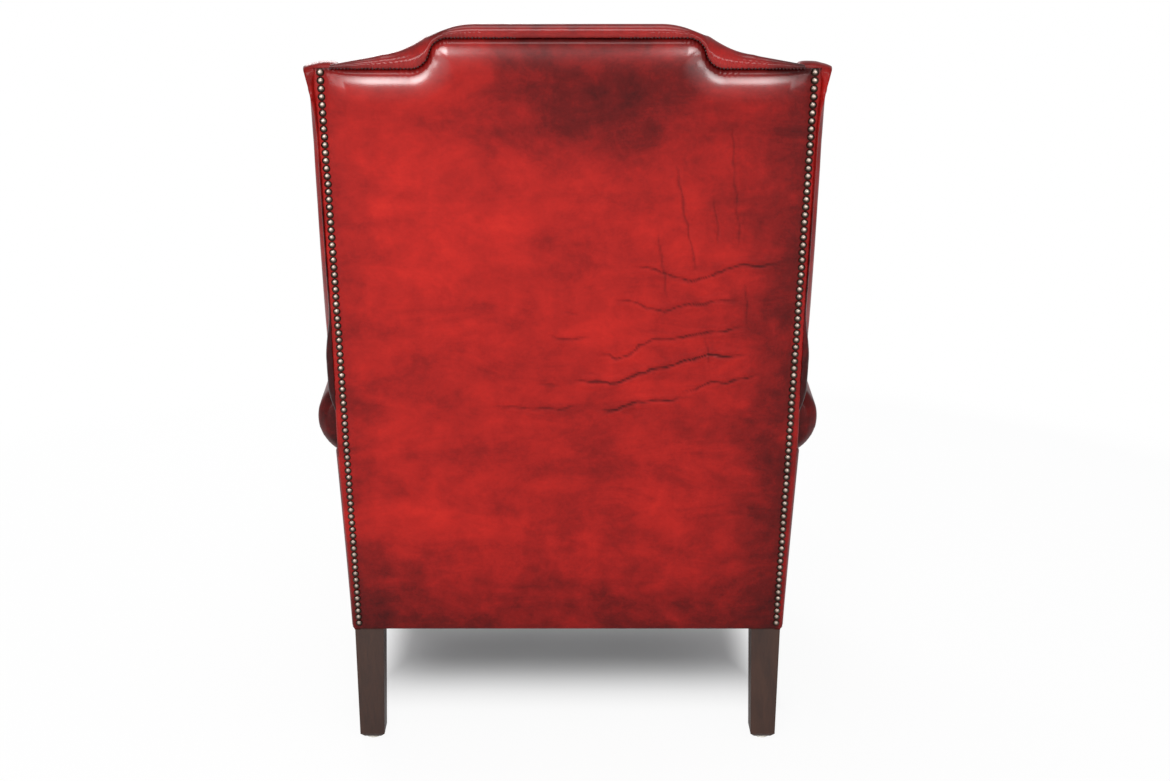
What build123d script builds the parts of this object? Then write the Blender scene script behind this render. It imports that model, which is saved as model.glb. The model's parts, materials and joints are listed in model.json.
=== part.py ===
from build123d import *
import math
import os

# Georgian wingback chair in leather, in millimetres.
# The sitter faces -Y, so left is +X. The floor is z = 0.

# Stance of the upholstered body
base_height = 177.0        # underside of the upholstery above the floor
back_y = 233.0             # rear face of the back at that height
back_rake = 10.0           # lean of the back, degrees
leather = 2.0              # hide with its wadding
overrun = 40.0             # how far a cutting solid runs past what it cuts

# Rows of close nails down the two edges of the back
nail_count = 79
nail_pitch = 11.3
nail_half_base = 326.0     # half the distance between the rows at their foot
nail_half_top = 333.0
nail_foot_rise = 13.0      # lowest nail above the bottom edge, along the back
nail_edge = 9.0            # nail centre to the edge of the back panel
nail_radius = 5.4
nail_taper = 40.0          # slope of the dome's facets, degrees
nail_height = 2.7
nail_shank = 1.2
shank_sides = 3
nail_shank_length = 14.0
nail_sides = 6

# Outline of the back panel, measured up the slope
crest_seam = 942.0
shoulder_seam = 900.0
seam_step_inner = 160.0    # the step's S-curve runs between these half widths
seam_step_outer = 212.0

# Outline of the padded roll that stands above the panel's seam
crest_top = 957.0
shoulder_top = 912.0
roll_step_inner = 125.0
roll_step_outer = 275.0
roll_proud = 4.0           # the roll stands this far behind the panel
roll_rear_bevel = 6.0
roll_front_bevel = 20.0

# Stuffed inside back
back_form_half = 330.0     # before the wings and arms cut into it
back_form_tuck = 20.0      # its lower end below the seat deck
back_depth = 100.0         # its front at the foot and at the crest
back_swell = 18.0          # how much further the middle stands forward

# Timber frame
post_depth = 45.0
post_width = 45.0
foot_width = 38.0
foot_chamfer = 6.0
rear_foot_outer = 327.0
rear_foot_kick = 25.0      # rear foot stands behind the back's lower edge
rail_thickness = 25.0
rail_inset = 3.0           # underside of the seat rails above the upholstery's
rail_height = 70.0
crest_rail_base = 840.0    # up the slope
crest_rail_drop = 6.0      # below the panel's seam
lower_rail_base = 150.0
lower_rail_height = 45.0
lower_rail_thickness = 20.0
front_leg_outer = 345.0
glide_height = 4.0
glide_radius = 11.0
glide_sides = 12
dowel_radius = 5.0
dowel_half_length = 22.0
pin_sides = 8
block_leg = 78.0
block_rise = 15.0          # glue blocks above the underside of the rails
block_height = 40.0
screw_radius = 3.0
screw_length = 58.0
screw_head_radius = 6.5
screw_head_height = 3.0

# Scroll arms, each a roll on the inner pad
arm_front_y = -375.0
arm_rear_y = 243.0         # full roll ends here
arm_end_y = 270.0          # rounded end of the roll
arm_inner_front = 272.0
arm_inner_rear = 264.0
arm_radius = 58.5
arm_end_chamfer = 15.0
arm_rise_front = 379.0     # the roll's centre above the underside of the upholstery
arm_rise_rear = 342.0
arm_arcs = 3               # arcs that make up the roll
arm_facets = 10            # flats on the stuffing inside it
arm_pad = 22.0
arm_pad_gap = 6.0          # the pad starts this far above the seat rails
arm_tuck_angle = 65.0      # where the roll tucks under, degrees below level
arm_rail_width = 48.0
arm_rail_height = 44.0
stump_depth = 30.0
facing_board = 8.0
facing_margin = 3.0

# Outside arms
side_half_rear = 336.0
side_half_front = 348.0
side_lean = 0.7            # degrees, opening to the top

# Wings
wing_gap = 3.0             # wing's outer face outside the back panel, at the pivot
wing_pivot_rise = 383.0    # above the underside of the upholstery
wing_flare = 7.4           # degrees, opening to the front
wing_lean = 1.2            # degrees, opening to the top beyond the nail rows
wing_thickness = 46.0
wing_roll_proud = 8.0      # the edge roll stands outside the panel
wing_bevel = 13.0          # the roll's rounding, drawn as a bevel
wing_roll_width = 46.0
wing_top_rear_rise = 9.0   # each point of the front edge stands this far above the last
wing_top_front_rise = 85.0
wing_top_front_y = 200.0
wing_nose_y = 136.0
wing_nose_rise = 185.0
wing_waist_y = 160.0
wing_waist_rise = 210.0
wing_toe_y = 8.0
wing_toe_rise = 22.0       # front edge's lower end above the foot
wing_foot_rise = 25.0      # foot above the arm roll's centre
wing_heel_y = 250.0
wing_board_thickness = 22.0
wing_board_margin = 24.0
wing_window_margin = 52.0

# Seat
web_thickness = 2.0
web_width = 50.0
web_rows_across = 5
web_rows_along = 5
back_web_rows = 5
deck_rise = 138.0          # seat deck above the underside of the upholstery
border_front_y = -395.0
border_radius = 16.0
border_return = 60.0
hessian = 1.5
dust_cloth = 1.5
seat_clearance = 0.5
deck_rear_y = 190.0

# Loose seat cushion
cushion_clearance = 1.5
cushion_front_y = -402.0
cushion_rear_y = 185.0
cushion_height = 165.0
cushion_crown = 20.0       # fall of the crown towards front and back
cushion_corner = 22.0
cushion_bevel = 8.0

rake_sin = math.sin(math.radians(back_rake))
rake_cos = math.cos(math.radians(back_rake))
panel_half_base = nail_half_base + nail_edge
panel_half_top = nail_half_top + nail_edge
rail_bottom = base_height + rail_inset
rail_top = rail_bottom + rail_height
block_bottom = rail_bottom + block_rise
block_top = block_bottom + block_height
deck_height = base_height + deck_rise
back_form_base = deck_rise / rake_cos - back_form_tuck
arm_centre_front = base_height + arm_rise_front
arm_centre_rear = base_height + arm_rise_rear
arm_pad_bottom = rail_top + arm_pad_gap
wing_pivot_z = base_height + wing_pivot_rise
wing_pivot_share = wing_pivot_rise / rake_cos / shoulder_seam
wing_pivot_half = panel_half_base + wing_pivot_share * (panel_half_top - panel_half_base)


def on_back(shape):
    """Lean a shape drawn upright, with the back's outer face on y = 0."""
    return Pos(0, back_y, base_height) * Rot(-back_rake, 0, 0) * shape


def back_face_y(z, depth=0):
    """Where a plane at this depth inside the back's outer face crosses the height z."""
    return back_y + (z - base_height) * rake_sin / rake_cos - depth / rake_cos


def on_wing(shape):
    """Splay a shape drawn square to the chair, its outer face on x = 0, into the left wing."""
    pivot_y = back_face_y(wing_pivot_z)
    nail_lean = math.degrees(math.atan((panel_half_top - panel_half_base) / shoulder_seam))
    lean = Rot(0, wing_lean + nail_lean, 0)
    turned = lean * Rot(0, 0, wing_flare) * Pos(0, -pivot_y, -wing_pivot_z)
    return Pos(wing_pivot_half + wing_gap, pivot_y, wing_pivot_z) * turned * shape


def on_side(shape, lean=0):
    """Splay a shape drawn square to the chair, its outer face on x = 0, into the left side."""
    reach = back_y - arm_front_y
    splay = math.degrees(math.atan((side_half_front - side_half_rear) / reach))
    turned = Rot(0, lean, 0) * Rot(0, 0, splay) * Pos(0, -back_y, -base_height)
    return Pos(side_half_rear, back_y, base_height) * turned * shape


def block(x_low, x_high, y_low, y_high, z_low, z_high):
    """A box between two opposite corners."""
    middle = Pos((x_low + x_high) / 2, (y_low + y_high) / 2, (z_low + z_high) / 2)
    return middle * Box(x_high - x_low, y_high - y_low, z_high - z_low)


def side_pair(shape):
    """The left piece and its mirror image on the right."""
    return shape, mirror(shape, Plane.YZ)


def stepped_outline(half_base, half_top, base, shoulder, crest, step_inner, step_outer):
    """Outline of the back with the S-curved step up to its crest, on the XZ plane."""
    middle = ((step_inner + step_outer) / 2, (shoulder + crest) / 2)
    edges = Curve() + [
        Line((0, base), (half_base, base)),
        Line((half_base, base), (half_top, shoulder)),
        Line((half_top, shoulder), (step_outer, shoulder)),
        TangentArc((step_outer, shoulder), middle, tangent=(-1, 0)),
        TangentArc((step_inner, crest), middle, tangent=(1, 0)),
        Line((step_inner, crest), (0, crest)),
        Line((0, crest), (0, base)),
    ]
    half = make_face(edges)
    return Plane.XZ * (half + mirror(half, Plane.YZ))


def seam_outline(drop, half_extra):
    """Outline of the back panel, lowered by drop at the top and widened at the sides."""
    return stepped_outline(
        panel_half_base + half_extra,
        panel_half_top + half_extra,
        0,
        shoulder_seam - drop,
        crest_seam - drop,
        seam_step_inner,
        seam_step_outer,
    )


def back_slab(rear, inset):
    """The stuffed back, its rear this far behind the back's face and its outline shrunk."""
    lift = base_height - rear * rake_sin
    outline = stepped_outline(
        back_form_half,
        back_form_half,
        lift + back_form_base * rake_cos,
        lift + (shoulder_top - inset) * rake_cos,
        lift + (crest_top - inset) * rake_cos,
        roll_step_inner - inset,
        roll_step_outer - inset,
    )
    level = Pos(0, 2 * back_y, 0) * extrude(outline, 2 * back_y)
    middle = (back_form_base + crest_top) / 2
    high = crest_top + 2 * overrun
    front = back_depth - inset
    profile = make_face(
        Curve() + [
            Line((rear, 0), (rear, high)),
            Line((rear, high), (-front, high)),
            ThreePointArc((-front, high), (-front - back_swell, middle), (-front, 0)),
            Line((-front, 0), (rear, 0)),
        ]
    )
    reach = back_form_half + overrun
    return level & on_back(Pos(-reach, 0, 0) * extrude(Plane.YZ * profile, 2 * reach))


def top_edges(slab, depth_low, depth_high):
    """The slab's upper edges that lie between two depths inside the back's face."""
    chosen = []
    side = back_form_half - leather
    for edge in slab.edges():
        middle = edge.center()
        within = back_face_y(middle.Z, depth_high) < middle.Y < back_face_y(middle.Z, depth_low)
        above = middle.Z > base_height + (shoulder_top - roll_front_bevel) * rake_cos
        if within and above and abs(middle.X) < side:
            chosen.append(edge)
    return chosen


def back_form():
    """The covered back with its top roll standing proud above the panel's seam."""
    form = back_slab(roll_proud, 0)
    form = chamfer(top_edges(form, -2 * roll_proud, 0), roll_rear_bevel)
    form = chamfer(top_edges(form, back_depth / 2, 2 * back_depth), roll_front_bevel)
    seam = Pos(0, overrun, 0) * extrude(seam_outline(0, overrun), overrun + leather)
    return form - on_back(seam)


def back_core():
    """The stuffing inside the back's cover."""
    core = back_slab(-leather, leather)
    return chamfer(top_edges(core, back_depth / 2, 2 * back_depth), roll_front_bevel - leather / 2)


def arm_station(y):
    """Inner face and centre height of the arm's roll at y."""
    share = (arm_rear_y - y) / (arm_rear_y - arm_front_y)
    inner = arm_inner_rear + share * (arm_inner_front - arm_inner_rear)
    centre = arm_centre_rear + share * (arm_centre_front - arm_centre_rear)
    return inner, centre


def arm_tuck_z(y):
    """Height of the underside where the arm's roll tucks in at y."""
    centre = arm_station(y)[1]
    return centre - arm_radius * math.sin(math.radians(arm_tuck_angle))


wing_foot_z = arm_station(wing_toe_y)[1] + wing_foot_rise
wing_toe_z = wing_foot_z + wing_toe_rise
wing_waist_z = wing_toe_z + wing_waist_rise
wing_nose_z = wing_waist_z + wing_nose_rise
wing_top_front = wing_nose_z + wing_top_front_rise
wing_top_rear = wing_top_front + wing_top_rear_rise


def arm_section(inset, facets):
    """Section of the left arm, its roll centred on the origin: the roll over the inner pad.

    The roll is drawn with arcs, or with this many flats where facets is not zero.
    """
    small = arm_radius - inset
    sweep = math.pi + math.radians(arm_tuck_angle)

    def on_roll(share):
        angle = math.pi - share * sweep
        return (small * math.cos(angle), small * math.sin(angle))

    if facets:
        corners = [on_roll(index / facets) for index in range(facets + 1)]
        roll = [Line(corners[index], corners[index + 1]) for index in range(facets)]
    else:
        parts = 2 * arm_arcs
        spots = [on_roll(index / parts) for index in range(parts + 1)]
        roll = [ThreePointArc(*spots[index:index + 3]) for index in range(0, parts, 2)]
    under = on_roll(1)
    pad_x = arm_pad - arm_radius
    low = -arm_centre_front
    edges = Curve() + [
        Line((-small, low), on_roll(0)),
        *roll,
        Line(under, (pad_x, under[1])),
        Line((pad_x, under[1]), (pad_x, low)),
        Line((pad_x, low), (-small, low)),
    ]
    return make_face(edges)


def arm_form(inset, facets=0):
    """The left arm's stuffed form, shrunk by inset, a straight sweep with a bevelled rear end."""
    end_y = arm_end_y - arm_end_chamfer if facets else arm_end_y
    front_inner, front_z = arm_station(arm_front_y)
    rear_inner, rear_z = arm_station(end_y)
    front = Vector(front_inner + arm_radius, arm_front_y, front_z)
    rear = Vector(rear_inner + arm_radius, end_y, rear_z)
    along = rear - front
    cut = Plane(front - along.normalized() * overrun, x_dir=(1, 0, 0), z_dir=-along)
    arm = extrude(cut * arm_section(inset, facets), -along.length - overrun)
    if not facets:
        end = arm.faces().sort_by(Axis.Y)[-1]
        arm = chamfer(end.edges().filter_by(GeomType.CIRCLE), arm_end_chamfer)
    reach = 2 * arm_centre_front
    return arm & block(0, reach, arm_front_y, reach, arm_pad_bottom, reach)


def wing_outline(margin, foot_rise=wing_foot_rise):
    """Side view of the wing, drawn in by margin along its top and front."""
    wing_heel_z = arm_tuck_z(arm_rear_y)
    rear_low = back_face_y(wing_heel_z, leather)
    rear_high = back_face_y(wing_top_rear, leather)
    toe_centre = arm_station(wing_toe_y)[1]
    heel_centre = arm_centre_rear + foot_rise
    nose = (wing_nose_y + margin, wing_nose_z - margin)
    top_front = (wing_top_front_y + margin, wing_top_front - margin)
    toe = (wing_toe_y + margin, wing_toe_z - margin / 4)
    waist = (wing_waist_y + margin, wing_waist_z)
    brow = TangentArc(top_front, nose, tangent=(-1, 0))
    cheek = TangentArc(nose, waist, tangent=brow % 1)
    edges = Curve() + [
        Line((rear_low, wing_heel_z), (rear_high, wing_top_rear - margin)),
        Line((rear_high, wing_top_rear - margin), top_front),
        brow,
        cheek,
        TangentArc(waist, toe, tangent=cheek % 1),
        Line(toe, (wing_toe_y + margin, toe_centre + foot_rise)),
        Line((wing_toe_y + margin, toe_centre + foot_rise), (wing_heel_y, heel_centre)),
        Line((wing_heel_y, heel_centre), (wing_heel_y, wing_heel_z)),
        Line((wing_heel_y, wing_heel_z), (rear_low, wing_heel_z)),
    ]
    return Plane.YZ * make_face(edges)


def wing_slab(inset):
    """The left wing with its proud edge roll, unrounded, and the edges to be rounded."""
    reach = wing_thickness + wing_roll_proud - 2 * inset
    slab = Pos(wing_roll_proud - inset, 0, 0) * extrude(wing_outline(inset), -reach)
    across = slab.edges().filter_by(Axis.X)
    rim = []
    for edge in slab.edges():
        middle = edge.center()
        forward = middle.Y < back_face_y(middle.Z, wing_roll_width)
        if forward and edge not in across and middle.Z > wing_toe_z + wing_bevel:
            rim.append(edge)
    return slab, rim


def wing_recess(inset):
    """The hollow outside the wing's panel, within its edge roll."""
    return Pos(-inset, 0, 0) * extrude(wing_outline(wing_roll_width), overrun)


def wing_form():
    """The covered left wing."""
    slab, rim = wing_slab(0)
    return on_wing(chamfer(rim, wing_bevel) - wing_recess(0))


def wing_core():
    """The stuffing inside the left wing's cover."""
    slab, rim = wing_slab(leather)
    return on_wing(chamfer(rim, wing_bevel - leather / 2) - wing_recess(leather))


def post_outer(rise):
    """Outer side of a rear post at this height up the slope."""
    share = rise / shoulder_seam
    return panel_half_base - leather + share * (panel_half_top - panel_half_base)


def lower_leg(x, y, depth, foot_x, foot_y):
    """A leg tapering from under the upholstery, centred on (x, y), to its square foot."""
    left = x - post_width / 2
    front = y - depth / 2
    foot_left = foot_x - foot_width / 2 - left
    foot_front = foot_y - foot_width / 2 - front
    leg = Wedge(
        post_width,
        base_height - glide_height,
        depth,
        foot_left,
        foot_front,
        foot_left + foot_width,
        foot_front + foot_width,
        align=None,
    )
    leg = Pos(left, front, base_height) * Rot(-90, 0, 0) * leg
    return chamfer(leg.faces().sort_by(Axis.Z)[0].edges(), foot_chamfer)


def rear_leg():
    """The left rear leg: foot, kicked leg and raked post up to the crest rail."""
    upright = loft(
        [
            Pos(post_outer(rise) - post_width / 2, -leather - post_depth / 2, rise)
            * Rectangle(post_width, post_depth)
            for rise in (-overrun, crest_rail_base)
        ],
        ruled=True,
    )
    reach = 2 * panel_half_top
    post = on_back(upright) - block(0, reach, -reach, reach, -overrun, base_height)
    top_front = back_face_y(base_height, leather + post_depth)
    top_rear = back_face_y(base_height, leather)
    return post + lower_leg(
        post_outer(0) - post_width / 2,
        (top_front + top_rear) / 2,
        top_rear - top_front,
        rear_foot_outer - foot_width / 2,
        back_y + rear_foot_kick - foot_width / 2,
    )


def front_leg():
    """The left front leg: a square block between the rails over a tapered leg."""
    x = front_leg_outer - post_width / 2
    y = arm_front_y + post_width / 2
    upper = block(
        front_leg_outer - post_width,
        front_leg_outer,
        arm_front_y,
        arm_front_y + post_width,
        base_height,
        rail_top,
    )
    return upper + lower_leg(x, y, post_width, x, y)


def behind_posts(depth):
    """Everything from this depth inside the back's outer face to behind the chair."""
    reach = 2 * panel_half_top
    return on_back(block(-reach, reach, -depth, reach, -reach, 2 * crest_top))


def crest_rail():
    """The stepped top rail of the frame."""
    outline = stepped_outline(
        post_outer(crest_rail_base),
        post_outer(shoulder_seam),
        crest_rail_base,
        shoulder_seam - crest_rail_drop,
        crest_seam - crest_rail_drop,
        seam_step_inner,
        seam_step_outer,
    )
    return on_back(Pos(0, -leather, 0) * extrude(outline, rail_thickness))


def crest_dowel():
    """The left dowel between post and crest rail."""
    centre_x = post_outer(crest_rail_base) - post_width / 2
    centre = Pos(centre_x, -leather - rail_thickness / 2, crest_rail_base - dowel_half_length)
    return on_back(centre * extrude(RegularPolygon(dowel_radius, pin_sides), 2 * dowel_half_length))


def arm_beam(width, height):
    """A beam through the left arm whose underside follows the arm rail's."""
    ends = []
    for y in (arm_front_y, back_y + overrun):
        inner, centre_z = arm_station(y)
        low = centre_z - arm_rail_height
        place = Pos(inner + arm_radius, y, low + height / 2)
        ends.append(place * (Plane.XZ * Rectangle(width, height)))
    return loft(ends, ruled=True)


def wing_board():
    """The left wing's shaped board with its window."""
    face = Pos(-(wing_thickness - wing_board_thickness) / 2, 0, 0)
    board = face * extrude(wing_outline(wing_board_margin, 0), -wing_board_thickness)
    seat = arm_centre_front + arm_radius + wing_board_margin
    reach = 2 * crest_top
    rear_stile = behind_posts(leather + post_depth + wing_window_margin - wing_board_margin)
    window = extrude(wing_outline(wing_window_margin), -wing_thickness)
    window = (window & block(-reach, reach, -reach, reach, seat, reach)) - rear_stile
    return on_wing(board - window)


def corner_block(corner_x, corner_y, toward_y):
    """A triangular glue block filling the seat frame's corner, before it is fitted."""
    reach = block_leg + post_width
    points = [
        (corner_x, corner_y),
        (corner_x - reach, corner_y),
        (corner_x, corner_y + toward_y * reach),
    ]
    face = Pos(0, 0, block_bottom) * make_face(Polyline(*points, close=True))
    return extrude(face, block_top - block_bottom)


def corner_screw(corner_x, corner_y, toward_y):
    """The screw through a corner block into its leg, head on the block's long face."""
    half = (block_leg + post_width) / 2
    turn = 45 if toward_y > 0 else -45
    middle = Pos(corner_x - half, corner_y + toward_y * half, (block_bottom + block_top) / 2)
    along = middle * Rot(0, 0, -turn) * Rot(0, 90, 0)
    shank = extrude(RegularPolygon(screw_radius, pin_sides), screw_length)
    head = extrude(RegularPolygon(screw_head_radius, pin_sides), -screw_head_height)
    return along * (shank + head)


def border_form(inset):
    """The padded front border and its return over the deck, shrunk by inset."""
    rear = border_front_y + border_return
    half = arm_station(rear)[0] - seat_clearance
    form = block(-half, half, border_front_y + inset, rear, base_height, deck_height - inset)
    lip = form.edges().filter_by(Axis.X).group_by(Axis.Z)[-1].sort_by(Axis.Y)[0]
    return fillet(lip, border_radius - inset)


def deck_form(front_y, low, high):
    """The seat deck between the arms, from front_y back and between two heights."""
    front = arm_station(front_y)[0] - seat_clearance
    rear = arm_inner_rear - seat_clearance
    points = [(-front, front_y), (front, front_y), (rear, deck_rear_y), (-rear, deck_rear_y)]
    return extrude(Pos(0, 0, low) * make_face(Polyline(*points, close=True)), high - low)


def cushion_plan(inset):
    """Plan of the loose cushion, shrunk by inset."""
    front = arm_station(arm_front_y)[0] - cushion_clearance - inset
    rear = arm_inner_rear - cushion_clearance - inset
    near = cushion_front_y + inset
    far = cushion_rear_y - inset
    points = [(-front, near), (front, near), (rear, far), (-rear, far)]
    return make_face(Polyline(*points, close=True))


def cushion_pad(inset):
    """The crowned cushion fitted to the back, its rims left sharp."""
    base = deck_height + seat_clearance + inset
    top = deck_height + seat_clearance + cushion_height - inset
    pad = extrude(Pos(0, 0, base) * cushion_plan(inset), top - base)
    pad = fillet(pad.edges().filter_by(Axis.Z).group_by(Axis.Y)[0], cushion_corner - inset)
    middle_y = (cushion_front_y + cushion_rear_y) / 2
    rear_y = cushion_rear_y + overrun
    profile = make_face(
        Curve() + [
            ThreePointArc(
                (2 * middle_y - rear_y, top - cushion_crown),
                (middle_y, top),
                (rear_y, top - cushion_crown),
            ),
            Polyline(
                (rear_y, top - cushion_crown),
                (rear_y, base),
                (2 * middle_y - rear_y, base),
                (2 * middle_y - rear_y, top - cushion_crown),
            ),
        ]
    )
    pad = pad & (Pos(-panel_half_top, 0, 0) * extrude(Plane.YZ * profile, 2 * panel_half_top))
    return pad - Pos(0, -cushion_clearance - inset, 0) * back_form()


def cushion_rims(pad):
    """The edges round a cushion's top and bottom."""
    faces = pad.faces().sort_by(Axis.Z)
    return faces[-1].edges() + faces[0].edges()


def seat_cushion():
    """The loose cushion's leather cover and its filling."""
    outer = cushion_pad(0)
    outer = chamfer(cushion_rims(outer), cushion_bevel)
    filling = cushion_pad(leather)
    filling = chamfer(cushion_rims(filling), cushion_bevel - leather / 2)
    return outer - filling, filling


def nail():
    """A faceted domed nail, its head's underside on z = 0."""
    head = extrude(RegularPolygon(nail_radius, nail_sides), nail_height, taper=nail_taper)
    root = RegularPolygon(nail_shank, shank_sides)
    shank = loft([root, Vertex(0, 0, -nail_shank_length)], ruled=True)
    return head + shank


def nail_row():
    """The row of close nails down the left edge of the back."""
    single = Rot(-90, 0, 0) * nail()
    row = []
    for index in range(nail_count):
        rise = nail_foot_rise + index * nail_pitch
        share = index / (nail_count - 1)
        half = nail_half_base + share * (nail_half_top - nail_half_base)
        row.append(on_back(Pos(half, 0, rise) * single))
    return Compound(children=row)


def arm_facing():
    """The left arm's scroll-shaped front panel."""
    inner, centre_z = arm_station(arm_front_y)
    neck_inner = inner + facing_margin
    neck_outer = side_half_front - facing_margin
    neck_width = neck_outer - neck_inner
    neck_height = centre_z - base_height
    neck = Pos(neck_inner + neck_width / 2, base_height + neck_height / 2)
    outline = neck * Rectangle(neck_width, neck_height)
    outline += Pos(inner + arm_radius, centre_z) * Circle(arm_radius - facing_margin)
    return Pos(0, arm_front_y, 0) * extrude(Plane.XZ * outline, facing_board)


def outside_arm():
    """The left outside arm panel, up to the tuck under the roll."""
    heel = arm_tuck_z(arm_rear_y)
    points = [
        (arm_front_y, base_height),
        (back_face_y(base_height, leather), base_height),
        (back_face_y(heel, leather), heel),
        (arm_rear_y, heel),
        (arm_front_y, arm_tuck_z(arm_front_y)),
    ]
    face = Plane.YZ * make_face(Polyline(*points, close=True))
    return on_side(extrude(face, -leather), side_lean)


def seat_webs():
    """Webbing across the seat frame, and the rows along it that lie on top."""
    across_half = side_half_rear - leather - rail_thickness / 2
    front = arm_front_y + post_width + web_width / 2
    rear = back_face_y(rail_top, leather + post_depth) - web_width
    across = []
    for index in range(web_rows_across):
        y = front + (rear - front) * (index + 1 / 2) / web_rows_across
        strip = block(-across_half, across_half, y, y + web_width, rail_top, rail_top + web_thickness)
        across.append(strip)
    along = []
    half = arm_inner_rear - web_width
    low = rail_top + web_thickness
    for index in range(web_rows_along):
        x = -half + 2 * half * index / (web_rows_along - 1)
        end = back_face_y(rail_top, leather + rail_thickness / 2)
        left = x - web_width / 2
        strip = block(left, left + web_width, arm_front_y + hessian, end, low, low + web_thickness)
        along.append(strip)
    return Compound(children=across), Compound(children=along)


def back_webs():
    """Webbing across the fronts of the rear posts."""
    half = min(post_outer(0), post_outer(crest_rail_base)) - post_width + nail_edge
    near = -leather - post_depth
    low = lower_rail_base + lower_rail_height + web_width
    high = crest_rail_base - 2 * web_width
    strips = []
    for index in range(back_web_rows):
        rise = low + (high - low) * index / (back_web_rows - 1)
        strip = block(-half, half, near - web_thickness, near, rise, rise + web_width)
        strips.append(on_back(strip))
    return Compound(children=strips)


# Timber
post_left = rear_leg()
post_left, post_right = side_pair(post_left)
leg_left, leg_right = side_pair(front_leg())
posts = post_left + post_right
dowel_left, dowel_right = side_pair(crest_dowel())
dowels = [dowel_left, dowel_right]
top_rail = crest_rail()
front_zone = behind_posts(leather + post_depth)

leg_inner = front_leg_outer - post_width
front_rail = block(
    -leg_inner, leg_inner, arm_front_y, arm_front_y + rail_thickness, rail_bottom, rail_top
)
side_rail_left = on_side(
    block(
        -leather - rail_thickness,
        -leather,
        arm_front_y + post_width,
        back_y + overrun,
        rail_bottom,
        rail_top,
    )
)
side_rail_left = side_rail_left - front_zone - leg_left
seat_level = block(
    -panel_half_top, panel_half_top, -back_y, 2 * back_y, rail_bottom, rail_top
)
narrow_post = min(post_outer(0), post_outer(crest_rail_base))
post_inner = narrow_post - post_width + nail_edge
back_rail = on_back(
    block(-post_inner, post_inner, -leather - rail_thickness, -leather, -overrun, 2 * rail_top)
)
back_rail = (back_rail & seat_level) - posts
lower_front = -leather - post_depth
lower_rail = on_back(
    block(
        -post_inner,
        post_inner,
        lower_front,
        lower_front + lower_rail_thickness,
        lower_rail_base,
        lower_rail_base + lower_rail_height,
    )
)
lower_rail = lower_rail - posts

arm_rail = arm_beam(arm_rail_width, arm_rail_height) - front_zone
arm_above = arm_beam(3 * arm_rail_width, 3 * arm_rail_height)
stump = block(
    leg_inner, front_leg_outer, arm_front_y, arm_front_y + stump_depth, rail_top, arm_centre_front
)
stump = stump - arm_above
board = wing_board() - front_zone - arm_rail

corner_places = [
    (front_leg_outer, arm_front_y, 1),
    (post_outer(0), back_face_y(rail_bottom, leather), -1),
]
seat_timber = leg_left + post_left + side_rail_left + front_rail + back_rail
blocks = []
screws = []
for place in corner_places:
    screw = corner_screw(*place)
    fitted = corner_block(*place) - seat_timber - screw
    blocks += list(side_pair(fitted.solids().sort_by(SortBy.VOLUME)[-1]))
    screws += list(side_pair(screw))
all_screws = Compound(children=screws)

# Holes for the dowels and screws
for dowel in dowels:
    top_rail = top_rail - dowel
    posts = posts - dowel
post_left = post_left - dowel_left
leg_left = leg_left - screws[0]
post_left = post_left - screws[2]
for screw in screws:
    front_rail = front_rail - screw
    side_rail_left = side_rail_left - screw
    back_rail = back_rail - screw
side_rail_left, side_rail_right = side_pair(side_rail_left)
post_left, post_right = side_pair(post_left)
leg_left, leg_right = side_pair(leg_left)
stump_left, stump_right = side_pair(stump)
arm_rail_left, arm_rail_right = side_pair(arm_rail)
board_left, board_right = side_pair(board)

# Left wing and arm, cut by the timber that they cover
arm_outer = arm_form(0)
arm_inner = arm_form(leather, arm_facets)
wing_outer = wing_form()
wing_inner = wing_core()
inner_post_zone = front_zone & block(
    0, post_outer(arm_centre_rear), -overrun, 2 * back_y, 0, 2 * arm_centre_front
)
web_depth = leather + post_depth + web_thickness + hessian
cavity = on_back(
    block(-post_inner, post_inner, -web_depth, overrun, 0, crest_rail_base)
)
arm_timber = arm_rail + stump + board + inner_post_zone + cavity
arm_padding = arm_inner - arm_timber
arm_cover = arm_outer - arm_inner - arm_timber
wing_timber = post_left + top_rail + dowel_left + cavity
wing_padding = wing_inner - wing_timber - board - arm_outer
wing_panel = on_wing(extrude(wing_outline(wing_roll_width), -leather)) - arm_outer
wing_panel = wing_panel - wing_timber
wing_wrap = (wing_outer - wing_inner) - wing_panel - wing_timber - arm_outer

# Stuffed back between the wings and arms
wing_zone = on_wing(
    block(
        -wing_thickness,
        wing_thickness,
        -2 * back_y,
        4 * back_y,
        arm_tuck_z(arm_rear_y),
        2 * crest_top,
    )
)
arm_side = block(
    arm_inner_rear, 2 * panel_half_top, -overrun, 2 * back_y, 0, arm_centre_rear
)
back_cutters = wing_zone + arm_side + arm_outer
back_cutters = back_cutters + mirror(back_cutters, Plane.YZ)
back_outer = back_form()
back_inner = back_core()
frame_back = posts + top_rail + dowel_left + dowel_right
back_padding = back_inner - back_cutters - cavity - frame_back - lower_rail
inside_back = (back_outer - back_inner) - back_cutters - frame_back - cavity
back_panel = on_back(extrude(seam_outline(0, 0), leather))
back_hessian = on_back(
    block(
        -post_inner,
        post_inner,
        -web_depth,
        -web_depth + hessian,
        lower_rail_base,
        crest_rail_base,
    )
)

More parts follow.
